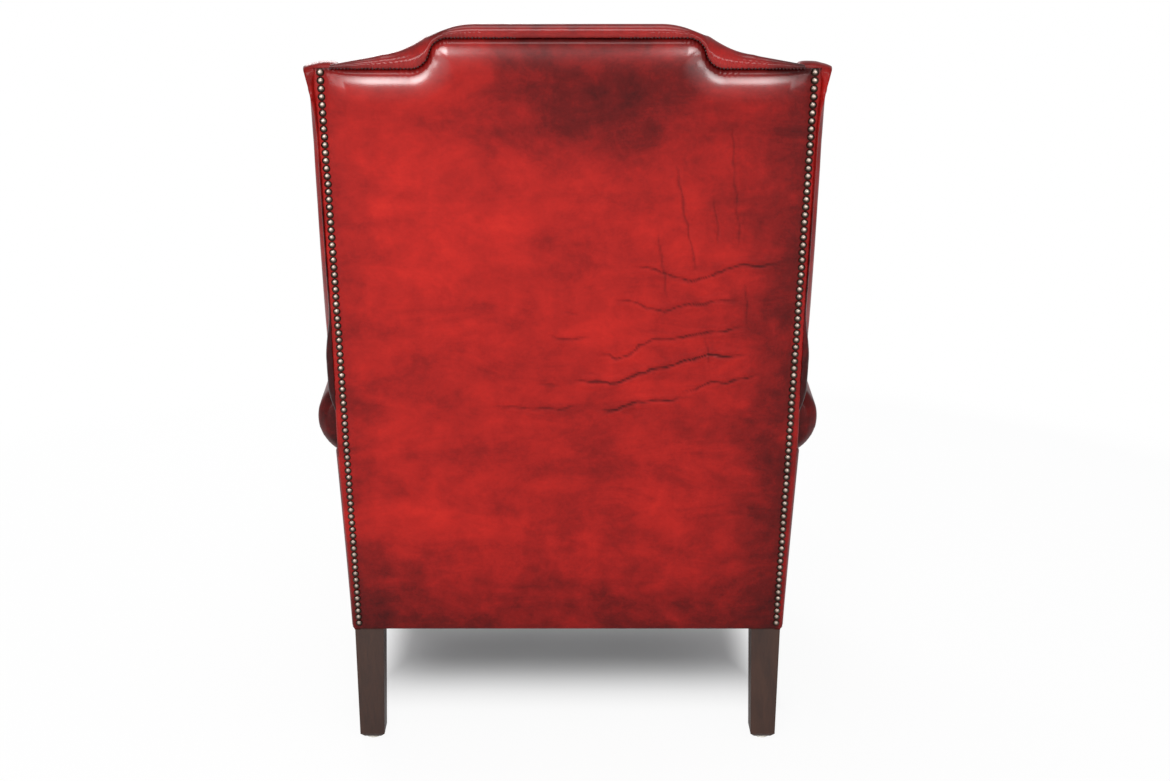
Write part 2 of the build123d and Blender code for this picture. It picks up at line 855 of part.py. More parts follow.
# Seat, from the webbing up
web_across, web_along = seat_webs()
hessian_low = rail_top + 2 * web_thickness
seat_hessian = block(
    -leg_inner, leg_inner, arm_front_y, deck_rear_y, hessian_low, hessian_low + hessian
)
seat_hessian = seat_hessian - posts
deck_cutters = back_outer + posts
deck_low = hessian_low + hessian
deck_padding = deck_form(arm_front_y, deck_low, deck_height - leather) - deck_cutters
deck_cover = deck_form(border_front_y + border_return, deck_height - leather, deck_height)
deck_cover = deck_cover - deck_cutters
border_inner = border_form(leather)
border_front = block(
    -arm_inner_front, arm_inner_front, border_front_y, arm_front_y, rail_bottom, deck_height
)
border_padding = border_inner & border_front
border_cover = border_form(0) - border_inner
dust_half = side_half_rear - leather - rail_thickness / 2
dust_cover = block(
    -dust_half,
    dust_half,
    arm_front_y + dust_cloth,
    back_face_y(rail_bottom, leather + dust_cloth),
    rail_bottom - dust_cloth,
    rail_bottom,
)
dust_cover = dust_cover - posts - leg_left - leg_right
facing_left, facing_right = side_pair(arm_facing())
outside_left, outside_right = side_pair(outside_arm() - post_left - arm_outer)
nails_left = nail_row()
cushion_cover, cushion_filling = seat_cushion()
glides = []
for face_of in (post_left, leg_left):
    foot = face_of.faces().sort_by(Axis.Z)[0].center()
    glide = Pos(foot.X, foot.Y, 0) * extrude(RegularPolygon(glide_radius, glide_sides), glide_height)
    glides += list(side_pair(glide))

nodes = {
    "rear_leg_left": post_left,
    "rear_leg_right": post_right,
    "front_leg_left": leg_left,
    "front_leg_right": leg_right,
    "crest_rail": top_rail,
    "crest_dowels": Compound(children=dowels),
    "front_seat_rail": front_rail,
    "side_seat_rail_left": side_rail_left,
    "side_seat_rail_right": side_rail_right,
    "back_seat_rail": back_rail,
    "lower_back_rail": lower_rail,
    "arm_stump_left": stump_left,
    "arm_stump_right": stump_right,
    "arm_rail_left": arm_rail_left,
    "arm_rail_right": arm_rail_right,
    "wing_board_left": board_left,
    "wing_board_right": board_right,
    "corner_blocks": Compound(children=blocks),
    "corner_block_screws": all_screws,
    "glides": Compound(children=glides),
    "seat_webbing_across": web_across,
    "seat_webbing_along": web_along,
    "seat_hessian": seat_hessian,
    "seat_deck_padding": deck_padding,
    "seat_deck_cover": deck_cover,
    "front_border_padding": border_padding,
    "front_border_cover": border_cover,
    "back_webbing": back_webs(),
    "back_hessian": back_hessian,
    "back_padding": back_padding,
    "inside_back_cover": inside_back,
    "outside_back_cover": back_panel,
    "dust_cover": dust_cover,
    "cushion_cover": cushion_cover,
    "cushion_filling": cushion_filling,
    "back_nails_left": nails_left,
    "back_nails_right": mirror(nails_left, Plane.YZ),
}
sided = {
    "wing_padding": wing_padding,
    "inside_wing_cover": wing_wrap,
    "outside_wing_cover": wing_panel,
    "arm_padding": arm_padding,
    "inside_arm_cover": arm_cover,
}
for name, shape in sided.items():
    nodes[name + "_left"], nodes[name + "_right"] = side_pair(shape)
nodes["outside_arm_cover_left"] = outside_left
nodes["outside_arm_cover_right"] = outside_right
nodes["arm_facing_left"] = facing_left
nodes["arm_facing_right"] = facing_right

os.makedirs("parts", exist_ok=True)
for name, shape in nodes.items():
    export_step(shape, os.path.join("parts", name + ".step"))
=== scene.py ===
"""Wingback chair in hand-dyed leather: upholstery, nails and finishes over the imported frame."""
import json
import math

import bpy
import numpy as np
from mathutils import Matrix, Vector
from mathutils.bvhtree import BVHTree

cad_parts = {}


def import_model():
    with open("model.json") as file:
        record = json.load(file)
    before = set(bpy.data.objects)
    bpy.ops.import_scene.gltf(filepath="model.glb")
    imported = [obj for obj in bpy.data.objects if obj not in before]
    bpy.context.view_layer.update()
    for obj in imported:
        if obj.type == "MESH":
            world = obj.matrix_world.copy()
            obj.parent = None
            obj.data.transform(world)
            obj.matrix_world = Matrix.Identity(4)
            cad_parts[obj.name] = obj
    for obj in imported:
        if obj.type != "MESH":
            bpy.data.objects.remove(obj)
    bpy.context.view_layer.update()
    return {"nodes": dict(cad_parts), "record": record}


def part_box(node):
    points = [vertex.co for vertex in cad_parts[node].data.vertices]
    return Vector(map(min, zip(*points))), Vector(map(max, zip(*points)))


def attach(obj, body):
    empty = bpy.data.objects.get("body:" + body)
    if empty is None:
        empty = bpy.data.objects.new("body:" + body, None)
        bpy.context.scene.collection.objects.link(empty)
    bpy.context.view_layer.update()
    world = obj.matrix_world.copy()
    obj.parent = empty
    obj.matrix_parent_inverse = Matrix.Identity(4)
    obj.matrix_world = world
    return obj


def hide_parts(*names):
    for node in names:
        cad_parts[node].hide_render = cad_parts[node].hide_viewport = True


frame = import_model()
rng = np.random.default_rng(7)

# Sizes in metres. The frame's, as in part.py:
BASE = 0.177            # underside of the upholstery
BACK_Y = 0.233          # the back's outer face at that height
RAKE = math.radians(10.0)
BACK_DEPTH = 0.100
BACK_SWELL = 0.018
CREST_SEAM = 0.942
SHOULDER_SEAM = 0.900
SEAM_INNER = 0.160      # the seam's step runs between these half widths
SEAM_OUTER = 0.212
NAIL_COUNT = 79
NAIL_PITCH = 0.0113
NAIL_RISE = 0.013
NAIL_BASE = 0.326       # half the distance between the rows, at the foot and the top
NAIL_TOP = 0.333
NAIL_RADIUS = 0.0054
ARM_FRONT = -0.375
ARM_REAR = 0.243
ARM_INNER = 0.272
ARM_RADIUS = 0.0585
ARM_Z_FRONT = 0.556
ARM_Z_REAR = 0.519
SIDE_SPLAY = 0.012      # the sides stand this much further out at the front
SIDE_LEAN = math.radians(0.7)
WING_PIVOT = (0.34102, 0.30053, 0.560)
WING_LEAN = math.radians(1.646)
WING_FLARE = math.radians(7.4)
WING_TOP = 1.069
DECK = 0.315
CUSHION_LOW = 0.3155
CUSHION_RISE = 0.165
CUSHION_CROWN = 0.020

# The stuffing's and the dressing's own sizes
HEM = 0.009             # hide turned in round a panel
PANEL_HALF = 0.336      # the outside back's grid is spread over this half width
PANEL_TOP_HALF = 0.3415     # and reaches this far out at its top
PANEL_FULL = 0.0035     # the outside back stands this far off its frame
PANEL_RIM = 0.0080      # and this much more along the crest seam
RIM_SLOPES = ((0.0, 1.5), (0.004, 0.7), (0.008, 0.27), (0.027, 0.16), (0.052, 0.0))
RIM_SHINE = 0.017       # the rim shines most this far below the seam
BACK_HALF = 0.318       # half width of the stuffed back between the wings
ROLL_INNER = 0.125      # the crest roll's own step
ROLL_OUTER = 0.262
ROLL_SHOULDER = 0.9165
ROLL_CREST = 0.9590
ROLL_FALL = 0.16        # slope of its ends, which start at this half width
ROLL_END = 0.25
ROLL_PROUD = 0.0040
ROLL_TUCK = 0.0030
ROLL_FRONT = 0.034      # radius of its front edge
ROLL_PUCKER = 0.0012    # depth of the gathers along the seam, on both sides of it
GATHER_PITCH = 0.0047
GATHER_RADIUS = 0.0021
GATHER_HEIGHT = 0.0026
GATHER_RISE = 0.0008    # above the seam's own line
NAIL_EDGE = 0.0105
NAIL_BAND = 0.015       # the panel lies flat this far in from its edge
NAIL_HEIGHT = 0.0032
NAIL_SUNK = 0.0006
NAIL_SCATTER = 0.0002
NAIL_DIMPLE = 0.0009
HIGHLIGHT_RISE = 0.36         # the painted highlight on a head sits this far above its centre, in radii
HIGHLIGHT_REACH = 0.38
DOME_SIDES = 16
DOME_TILT = 0.022       # how far a head leans off square
DOME_PROFILE = (        # share of the radius, share of the height
    (1.0, -0.10), (1.0, 0.10), (0.94, 0.38), (0.78, 0.68), (0.56, 0.86), (0.34, 0.95), (0.14, 0.99),
)
FACING_INNER = 0.275
FACING_OUTER = 0.345
FACING_FOOT = 0.004
FACING_MARGIN = 0.003
FACING_CROWN = 0.005
FACING_NAIL_INSET = 0.0075
FACING_NAIL_DEPTH = 0.0085
ARM_LIFT = 0.013        # the stuffing lifts the rear of the scroll this much
ARM_TAPER = 0.006       # and the scroll is this much slimmer there
ARM_FLARE = 0.0035      # the side stands out this much under the scroll
SIDE_HALF = 0.3375      # the outside arm's face at the foot of the back
SIDE_FILL = 0.003       # and how full it is between its edges
WING_PROUD = 0.013      # the wing's edge roll stands out at its top and its foot
WING_FOOT_PROUD = 0.009
WING_FOOT_LOW = 0.540   # its foot stands out between these heights
WING_FOOT_HIGH = 0.715
WELT = 0.0030
WELT_LIFT = 0.0012
WELT_HALF_FRONT = 0.2703
WELT_HALF_REAR = 0.2625
WELT_FRONT = -0.401
WELT_REAR = 0.160
WELT_CORNER = 0.024
SEAT_LINE = 0.46        # painted shade darkens the stuffed back from here down, behind the cushion
DUST_CLOTH = 0.0008
DUST_SAG = 0.004
STUFFED_POLISH = 0.18

SIDES = (("left", 1), ("right", -1))


# Nodes and links

def adder(tree):
    """A function that adds a node to this tree and sets or links its inputs."""

    def add(kind, inputs=None, **settings):
        node = tree.nodes.new(kind)
        for key, value in settings.items():
            setattr(node, key, value)
        for key, value in (inputs or {}).items():
            if isinstance(value, bpy.types.NodeSocket):
                tree.links.new(value, node.inputs[key])
            else:
                node.inputs[key].default_value = value
        return node

    return add


def new_material(name):
    """An empty node material and a function that adds nodes to it."""
    material = bpy.data.materials.new(name)
    material.use_nodes = True
    material.node_tree.nodes.clear()
    return material, adder(material.node_tree)


def surface(add, inputs):
    """Give a material its one shader."""
    shader = add("ShaderNodeBsdfPrincipled", inputs)
    add("ShaderNodeOutputMaterial", {"Surface": shader.outputs["BSDF"]})


def ramp(add, factor, stops):
    """A colour ramp of (place, colour) stops."""
    node = add("ShaderNodeValToRGB", {"Fac": factor})
    elements = node.color_ramp.elements
    while len(elements) < len(stops):
        elements.new(0.5)
    for element, (place, colour) in zip(elements, stops):
        element.position = place
        element.color = (*colour, 1.0)
    return node.outputs["Color"]


def noise(add, vector, scale, detail=4.0, roughness=0.55, distortion=0.0):
    """The factor of a noise texture."""
    inputs = {
        "Vector": vector,
        "Scale": scale,
        "Detail": detail,
        "Roughness": roughness,
        "Distortion": distortion,
    }
    return add("ShaderNodeTexNoise", inputs).outputs["Fac"]


def math_node(add, operation, a, b=0.0, clamp=False):
    """One arithmetic step between sockets or numbers."""
    node = add("ShaderNodeMath", operation=operation, use_clamp=clamp)
    for index, value in enumerate((a, b)):
        if isinstance(value, bpy.types.NodeSocket):
            node.id_data.links.new(value, node.inputs[index])
        else:
            node.inputs[index].default_value = value
    return node.outputs[0]


def weighted(add, start, *terms, clamp=False):
    """start plus each socket times its weight, kept between 0 and 1 if clamp is set."""
    total = start
    for socket, weight in terms:
        total = math_node(add, "ADD", math_node(add, "MULTIPLY", socket, weight), total)
    total.node.use_clamp = clamp
    return total


def attribute(add, name):
    """A number that the mesh carries at each vertex."""
    return add("ShaderNodeAttribute", attribute_name=name).outputs["Fac"]


def position(add):
    """Object coordinates."""
    return add("ShaderNodeTexCoord").outputs["Object"]


def stretched(add, scale):
    """Object coordinates, stretched for streaks and grain."""
    return add("ShaderNodeMapping", {"Vector": position(add), "Scale": scale}).outputs["Vector"]


def leather_material():
    """Hand-dyed, waxed red leather in mottled tones, darkened by painted shade at seams, edges and
    creases and lighter in between.
    """
    material, add = new_material("hand_dyed_leather")
    where = position(add)
    cloud = noise(add, where, 4.6, 6.0, 0.66, 0.4)
    smear = noise(add, stretched(add, (7.0, 7.0, 17.0)), 1.0, 8.0, 0.70, 0.6)
    blot = noise(add, where, 24.0, 8.0, 0.70, 0.3)
    speck = noise(add, where, 260.0, 2.0, 0.5)
    tone = weighted(
        add, -0.42,
        (cloud, 0.60), (smear, 0.60), (blot, 0.50), (speck, 0.10),
        # painted shade carried on the vertices: at seams, edges and joins, and along the creases
        (attribute(add, "shade"), -0.55), (attribute(add, "crease_shade"), -0.42),
        clamp=True,
    )
    dyes = [
        (0.0, (0.030, 0.0012, 0.0012)),
        (0.22, (0.110, 0.0032, 0.0028)),
        (0.45, (0.250, 0.0070, 0.0055)),
        (0.68, (0.400, 0.0120, 0.0080)),
        (1.0, (0.580, 0.0260, 0.0130)),
    ]
    grain = add("ShaderNodeTexVoronoi", {"Vector": where, "Scale": 620.0}, feature="F1")
    pores = weighted(add, 0.0, (grain.outputs["Distance"], 0.5), (speck, 0.5))
    fine = add("ShaderNodeBump", {"Height": pores, "Strength": 0.10, "Distance": 0.0006})
    waves = {
        "Height": noise(add, where, 22.0, 3.0, 0.5),
        "Strength": 0.22,
        "Distance": 0.004,
        "Normal": fine.outputs["Normal"],
    }
    surface(add, {
        "Base Color": ramp(add, tone, dyes),
        "Roughness": weighted(add, 0.26, (blot, 0.20)),
        "Specular IOR Level": 0.09,
        "Coat Weight": weighted(add, 0.06, (attribute(add, "polish"), 0.90), clamp=True),
        "Coat Roughness": 0.15,
        "Coat IOR": 1.8,
        "Normal": add("ShaderNodeBump", waves).outputs["Normal"],
    })
    return material


def wood_material(name, dark, light, gloss, coat):
    """Straight-grained timber, its grain running up the piece."""
    material, add = new_material(name)
    rings = noise(add, stretched(add, (60.0, 60.0, 2.2)), 1.0, 6.0, 0.6, 0.8)
    pores = noise(add, stretched(add, (420.0, 420.0, 9.0)), 1.0, 2.0, 0.5)
    patch = noise(add, position(add), 9.0, 3.0)
    tone = weighted(add, 0.0, (rings, 0.7), (pores, 0.25), (patch, 0.25))
    bump = add("ShaderNodeBump", {"Height": pores, "Strength": 0.15, "Distance": 0.0005})
    surface(add, {
        "Base Color": ramp(add, tone, [(0.3, dark), (0.85, light)]),
        "Roughness": weighted(add, gloss, (patch, 0.18)),
        "Specular IOR Level": 0.30,
        "Coat Weight": coat,
        "Coat Roughness": 0.25,
        "Normal": bump.outputs["Normal"],
    })
    return material


def metal_material(name, dark, light, low_rough, highlight_colour=None):
    """Patinated or plated metal; the optional third colour is a painted highlight on the upper
    crown of each head.
    """
    material, add = new_material(name)
    patch = noise(add, position(add), 90.0, 4.0, 0.6)
    colour = ramp(add, patch, [(0.35, dark), (0.7, light)])
    if highlight_colour:
        # painted highlight: the pale colour on each head's upper crown, broken up by the patina
        painted_highlight = math_node(add, "ADD", patch, 0.45)
        painted_highlight = math_node(add, "MULTIPLY", attribute(add, "painted_highlight"), painted_highlight, True)
        inputs = {"Factor": painted_highlight, "A": colour, "B": (*highlight_colour, 1.0)}
        colour = add("ShaderNodeMix", inputs, data_type="RGBA").outputs["Result"]
    bump = add("ShaderNodeBump", {"Height": patch, "Strength": 0.05, "Distance": 0.0003})
    surface(add, {
        "Base Color": colour,
        "Metallic": 1.0,
        "Roughness": weighted(add, low_rough, (patch, 0.15)),
        "Normal": bump.outputs["Normal"],
    })
    return material


def fibre_material(name, dark, light, thread):
    """Woven or matted fibre: crossed threads of this pitch, in metres, over blotches."""
    material, add = new_material(name)
    waves = {"Vector": position(add), "Scale": 0.314 / thread, "Distortion": 0.8, "Detail": 1.0}
    weave = None
    for direction in ("X", "Y", "Z"):
        wave = add("ShaderNodeTexWave", waves, bands_direction=direction).outputs["Fac"]
        weave = wave if weave is None else math_node(add, "MAXIMUM", weave, wave)
    patch = noise(add, position(add), 40.0, 5.0, 0.7)
    tone = weighted(add, 0.0, (weave, 0.5), (patch, 0.5))
    bump = add("ShaderNodeBump", {"Height": weave, "Strength": 0.5, "Distance": 0.0004})
    surface(add, {
        "Base Color": ramp(add, tone, [(0.2, dark), (0.8, light)]),
        "Roughness": 0.9,
        "Sheen Weight": 0.2,
        "Normal": bump.outputs["Normal"],
    })
    return material


def plastic_material(name, dark, light):
    """Slightly scuffed moulded plastic."""
    material, add = new_material(name)
    patch = noise(add, position(add), 120.0, 4.0, 0.6)
    surface(add, {
        "Base Color": ramp(add, patch, [(0.3, dark), (0.7, light)]),
        "Roughness": weighted(add, 0.35, (patch, 0.3)),
    })
    return material


# Colours are the dark and the light end of each finish
MATERIALS = {
    "leather": leather_material(),
    "legs": wood_material(
        "dark_stained_wood", (0.014, 0.005, 0.003), (0.050, 0.019, 0.010), gloss=0.40, coat=0.04
    ),
    "frame_timber": wood_material(
        "planed_beech", (0.30, 0.17, 0.09), (0.62, 0.42, 0.25), gloss=0.55, coat=0.0
    ),
    # the nails' third colour is a painted highlight on their upper crowns
    "nails": metal_material(
        "antique_brass", (0.018, 0.010, 0.007), (0.060, 0.036, 0.024),
        low_rough=0.30, highlight_colour=(0.62, 0.49, 0.42),
    ),
    "screws": metal_material(
        "zinc_plate", (0.35, 0.35, 0.36), (0.62, 0.62, 0.60), low_rough=0.25
    ),
    "glides": plastic_material("pale_nylon", (0.55, 0.52, 0.45), (0.75, 0.72, 0.65)),
    "webbing": fibre_material(
        "jute_webbing", (0.20, 0.12, 0.06), (0.52, 0.38, 0.22), thread=0.0030
    ),
    "hessian": fibre_material("hessian", (0.26, 0.18, 0.10), (0.60, 0.46, 0.28), thread=0.0016),
    "dust_cloth": fibre_material(
        "black_dust_cloth", (0.004, 0.004, 0.004), (0.03, 0.03, 0.03), thread=0.0009
    ),
    "wadding": fibre_material("wadding", (0.55, 0.50, 0.40), (0.85, 0.80, 0.70), thread=0.0040),
}


# Mesh helpers

def dress(obj, slot, body, *nodes):
    """Give a finished piece its material and body, and hide the CAD nodes that it stands for."""
    obj.data.materials.clear()
    obj.data.materials.append(MATERIALS[slot])
    for polygon in obj.data.polygons:
        polygon.use_smooth = True
    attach(obj, body)
    if nodes:
        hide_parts(*nodes)


def finish_soft(obj, shade, *nodes, polish=STUFFED_POLISH, body="chair_frame"):
    """Leather for a stuffed form, darkened by shade and glossed by polish at each vertex."""
    everywhere = np.ones(len(obj.data.vertices))
    set_attribute(obj, "shade", shade * everywhere)
    set_attribute(obj, "crease_shade", 0 * everywhere)
    set_attribute(obj, "polish", polish * everywhere)
    dress(obj, "leather", body, *nodes)


def mesh_object(name, points, faces):
    """An object from arrays of points and faces."""
    mesh = bpy.data.meshes.new(name)
    mesh.from_pydata([tuple(map(float, p)) for p in points], [], faces)
    mesh.update()
    obj = bpy.data.objects.new(name, mesh)
    bpy.context.collection.objects.link(obj)
    return obj


def grid_object(name, points, flip=False):
    """An object from a grid of points, rows by columns."""
    rows, columns = points.shape[:2]
    faces = []
    for row in range(rows - 1):
        for column in range(columns - 1):
            a = row * columns + column
            face = (a, a + 1, a + columns + 1, a + columns)
            faces.append(face[::-1] if flip else face)
    return mesh_object(name, points.reshape(-1, 3), faces)


def set_attribute(obj, name, values):
    """A number on each vertex, for the materials."""
    layer = obj.data.attributes.new(name, "FLOAT", "POINT")
    layer.data.foreach_set("value", np.asarray(values, dtype=np.float32).ravel())


def coordinates(obj):
    """The object's vertices as an array."""
    flat = np.empty(len(obj.data.vertices) * 3)
    obj.data.vertices.foreach_get("co", flat)
    return flat.reshape(-1, 3)


def set_coordinates(obj, points):
    """Move the object's vertices to these points."""
    obj.data.vertices.foreach_set("co", np.asarray(points, dtype=np.float32).ravel())
    obj.data.update()


def evaluated_mesh(obj):
    """The object's mesh with its modifiers or its bevel worked out."""
    graph = bpy.context.evaluated_depsgraph_get()
    return bpy.data.meshes.new_from_object(obj.evaluated_get(graph))


def apply_modifiers(obj):
    """Make the modifiers' result the object's own mesh."""
    mesh = evaluated_mesh(obj)
    obj.modifiers.clear()
    obj.data = mesh


def softened(name, nodes, voxel, passes):
    """A padded form: the outer shape of these CAD nodes with its edges rounded off."""
    points = []
    faces = []
    for node in nodes:
        mesh = frame["nodes"][node].data
        start = len(points)
        points += [tuple(v.co) for v in mesh.vertices]
        faces += [tuple(start + i for i in p.vertices) for p in mesh.polygons]
    obj = mesh_object(name, points, faces)
    remesh = obj.modifiers.new("remesh", "REMESH")
    remesh.mode = "VOXEL"
    remesh.voxel_size = voxel
    smooth = obj.modifiers.new("smooth", "SMOOTH")
    smooth.iterations = passes
    apply_modifiers(obj)
    return obj


def tube(name, line, radius, body):
    """A round leather welt along a line of points."""
    curve = bpy.data.curves.new(name, "CURVE")
    curve.dimensions = "3D"
    curve.bevel_depth = radius
    curve.bevel_resolution = 3
    spline = curve.splines.new("POLY")
    spline.points.add(len(line) - 1)
    for point, place in zip(spline.points, line):
        point.co = (*map(float, place), 1.0)
    holder = bpy.data.objects.new(name + "_path", curve)
    bpy.context.collection.objects.link(holder)
    mesh = evaluated_mesh(holder)
    bpy.data.objects.remove(holder)
    obj = bpy.data.objects.new(name, mesh)
    bpy.context.collection.objects.link(obj)
    dress(obj, "leather", body)


def domes(name, places, radius, height):
    """Domed heads at (point, outward direction) places, joined as one object."""
    points = []
    faces = []
    painted_highlights = []
    for centre, outward in places:
        outward = Vector(outward).normalized()
        outward = (outward + Vector(rng.normal(0, DOME_TILT, 3))).normalized()
        turn = outward.to_track_quat("Z", "Y").to_matrix()
        # each head gets a painted highlight, a pale spot above its crown as if lit from above
        crown = turn @ Vector((0, 0, height)) + Vector((0, 0, HIGHLIGHT_RISE * radius))
        start = len(points)
        for share, up in DOME_PROFILE:
            for step in range(DOME_SIDES):
                angle = 2 * math.pi * step / DOME_SIDES
                across = share * radius
                spot = Vector((across * math.cos(angle), across * math.sin(angle), up * height))
                points.append(Vector(centre) + turn @ spot)
                painted_highlights.append(bell((turn @ spot - crown).length, HIGHLIGHT_REACH * radius))
        points.append(Vector(centre) + turn @ Vector((0, 0, height)))
        painted_highlights.append(bell(HIGHLIGHT_RISE, HIGHLIGHT_REACH))
        last = start + (len(DOME_PROFILE) - 1) * DOME_SIDES
        for ring in range(start, last, DOME_SIDES):
            for step in range(DOME_SIDES):
                a = ring + step
                b = ring + (step + 1) % DOME_SIDES
                faces.append((a, b, b + DOME_SIDES, a + DOME_SIDES))
        for step in range(DOME_SIDES):
            faces.append((last + step, last + (step + 1) % DOME_SIDES, last + DOME_SIDES))
    obj = mesh_object(name, points, faces)
    set_attribute(obj, "painted_highlight", painted_highlights)
    return obj


# Distances and how things change with them

def segment_distance(points, line):
    """The least distance from each point to a polyline."""
    best = np.full(len(points), 1e9)
    for a, b in zip(line[:-1], line[1:]):
        along = b - a
        share = np.clip(((points - a) @ along) / max(along @ along, 1e-12), 0, 1)
        gap = np.linalg.norm(points - a - share[:, None] * along, axis=1)
        best = np.minimum(best, gap)
    return best


def evenly(line, pitch):
    """Points along a line at about this pitch."""
    line = np.array(line)
    steps = np.linalg.norm(np.diff(line, axis=0), axis=1)
    along = np.concatenate([[0], np.cumsum(steps)])
    count = int(round(along[-1] / pitch))
    spots = np.linspace(0, along[-1], count + 1)
    return np.stack([np.interp(spots, along, axis) for axis in line.T], axis=1)


def fade(gap, reach):
    """1 at an edge and on its far side, dying away over this reach."""
    return np.exp(-np.maximum(gap, 0) / reach)


def bell(offset, width):
    """1 in the middle, dying away to both sides over this width."""
    return np.exp(-((offset / width) ** 2))


def grown(gap, reach, power=1.0):
    """0 at an edge, 1 from this reach on."""
    return np.clip(gap / reach, 0, 1) ** power


def ease(share):
    """A share from 0 to 1 that starts and ends gently."""
    share = np.clip(share, 0, 1)
    return share * share * (3 - 2 * share)


def round_in(gap, radius):
    """How far a surface has turned inwards at this distance from its edge."""
    short = np.clip(radius - gap, 0, radius)
    return radius - np.sqrt(np.maximum(radius**2 - short**2, 0))


def puckers(x, pitch, sway, turns):
    """Uneven gathers along a seam, between 0 and 1."""
    return 0.5 + 0.5 * np.sin(x * 2 * math.pi / pitch + sway * np.sin(x * turns))


# The back's own axes and outlines

def on_back(x, depth, rise):
    """World points of places on the raked back; depth is positive towards the rear."""
    y = BACK_Y + depth * math.cos(RAKE) + rise * math.sin(RAKE)
    z = BASE - depth * math.sin(RAKE) + rise * math.cos(RAKE)
    return np.stack(np.broadcast_arrays(x, y, z), axis=-1)


REARWARD = on_back(0.0, 1.0, 0.0) - on_back(0.0, 0.0, 0.0)


def back_y(z, depth=0.0):
    """Where a plane at this depth inside the back's outer face crosses the height z."""
    return BACK_Y + (z - BASE) * math.tan(RAKE) - depth / math.cos(RAKE)


def stepped(x, inner, outer, low, high):
    """Height of an outline that steps down from high to low in two equal arcs."""
    x = np.abs(x)
    half = (outer - inner) / 2
    drop = (high - low) / 2
    radius = (half**2 + drop**2) / (2 * drop)
    near = np.clip(x - inner, 0, half)
    far = np.clip(outer - x, 0, half)
    upper = high - radius + np.sqrt(radius**2 - near**2)
    lower = low + radius - np.sqrt(radius**2 - far**2)
    return np.where(x < (inner + outer) / 2, upper, lower)


def seam_rise(x):
    """The crest seam, up the slope."""
    return stepped(x, SEAM_INNER, SEAM_OUTER, SHOULDER_SEAM, CREST_SEAM)


def roll_rise(x):
    """Top of the padded roll above the seam, up the slope."""
    fall = ROLL_FALL * np.clip(np.abs(x) - ROLL_END, 0, 1)
    return stepped(x, ROLL_INNER, ROLL_OUTER, ROLL_SHOULDER, ROLL_CREST) - fall


def rim_fall(gap):
    """How far the panel has rolled in at this distance from the crest seam, 1 at the seam."""
    places, slopes = zip(*RIM_SLOPES)
    reach = np.linspace(0, places[-1], 400)
    fallen = np.cumsum(np.interp(reach, places, slopes)[::-1])[::-1]
    return np.interp(gap, reach, fallen / fallen[0], right=0.0)


def panel_half(rise):
    """Half width of the outside back panel at this rise."""
    share = rise / SHOULDER_SEAM
    flare = ARM_FLARE * bell(rise - 0.31, 0.12)
    return NAIL_BASE + NAIL_EDGE + flare + share * (NAIL_TOP - NAIL_BASE)


def nail_places(sign):
    """x and rise of each nail down one side of the back."""
    places = []
    for index in range(NAIL_COUNT):
        share = index / (NAIL_COUNT - 1)
        half = NAIL_BASE + share * (NAIL_TOP - NAIL_BASE)
        places.append((sign * half, NAIL_RISE + index * NAIL_PITCH))
    return places


# The back

# Creases of the outside back, as strength with x and rise in millimetres
CREASES = [
    (1.0, [(-96, 613), (-112, 615), (-131, 606), (-148, 601), (-171, 592), (-187, 597), (-206, 601),
           (-222, 611), (-245, 617), (-274, 616), (-297, 618)]),
    (0.9, [(-67, 564), (-96, 560), (-123, 548), (-139, 546), (-159, 554), (-179, 557), (-198, 558),
           (-218, 564), (-241, 562)]),
    (1.0, [(-45, 475), (-61, 477), (-71, 471), (-88, 476), (-104, 493), (-124, 501), (-147, 503),
           (-167, 504), (-190, 512), (-213, 513), (-233, 517), (-249, 521)]),
    (1.4, [(-11, 436), (-38, 435), (-62, 431), (-82, 436), (-102, 447), (-122, 453), (-142, 458),
           (-161, 464), (-181, 471), (-201, 477), (-221, 476), (-241, 475), (-257, 477)]),
    (1.0, [(-169, 416), (-189, 423), (-209, 433), (-233, 433), (-256, 440), (-276, 446)]),
    (1.2, [(-45, 387), (-62, 386), (-82, 393), (-102, 402), (-126, 403), (-150, 404), (-166, 408)]),
    (0.7, [(113, 393), (86, 394), (63, 390), (39, 391), (12, 389), (-5, 393), (-18, 397)]),
    (0.8, [(28, 508), (12, 504), (-8, 500), (-18, 504), (-34, 508)]),
    (0.5, [(52, 431), (29, 428), (5, 430)]),
    (0.6, [(8, 546), (-5, 543), (-15, 539)]),
    (0.55, [(-150, 766), (-156, 733), (-162, 699), (-168, 672), (-176, 634), (-183, 610)]),
    (0.4, [(-201, 720), (-208, 689), (-212, 644)]),
    (0.45, [(-225, 819), (-229, 763), (-234, 713), (-239, 675), (-242, 641)]),
    (0.5, [(-127, 672), (-129, 641), (-136, 610), (-141, 564)]),
    (0.4, [(-198, 506), (-203, 477), (-207, 455)]),
    (0.4, [(-252, 596), (-255, 557), (-257, 521)]),
]


def taut_depth(flat, seam_gap, side_gap):
    """How far the taut panel stands behind its frame, before it creases."""
    foot_gap = flat[:, 1]
    inside_nails = side_gap - NAIL_BAND
    full = PANEL_FULL * grown(inside_nails, reach=0.060, power=0.7)
    full *= grown(foot_gap, reach=0.060, power=0.6)
    full += PANEL_RIM * bell(seam_gap, width=0.090) * grown(inside_nails, reach=0.030, power=0.7)
    sunk_seam = 0.0016
    depth = full - (full + sunk_seam) * rim_fall(seam_gap)
    depth -= round_in(side_gap, radius=0.0045) + round_in(foot_gap, radius=0.004)
    gathers = ROLL_PUCKER * puckers(flat[:, 0], pitch=0.0061, sway=3, turns=70)
    depth -= gathers * bell(seam_gap, width=0.005)
    for sign in (1, -1):
        for place in nail_places(sign):
            reach = np.linalg.norm(flat - np.array(place), axis=1)
            depth -= NAIL_DIMPLE * bell(reach, width=0.006)
    return depth


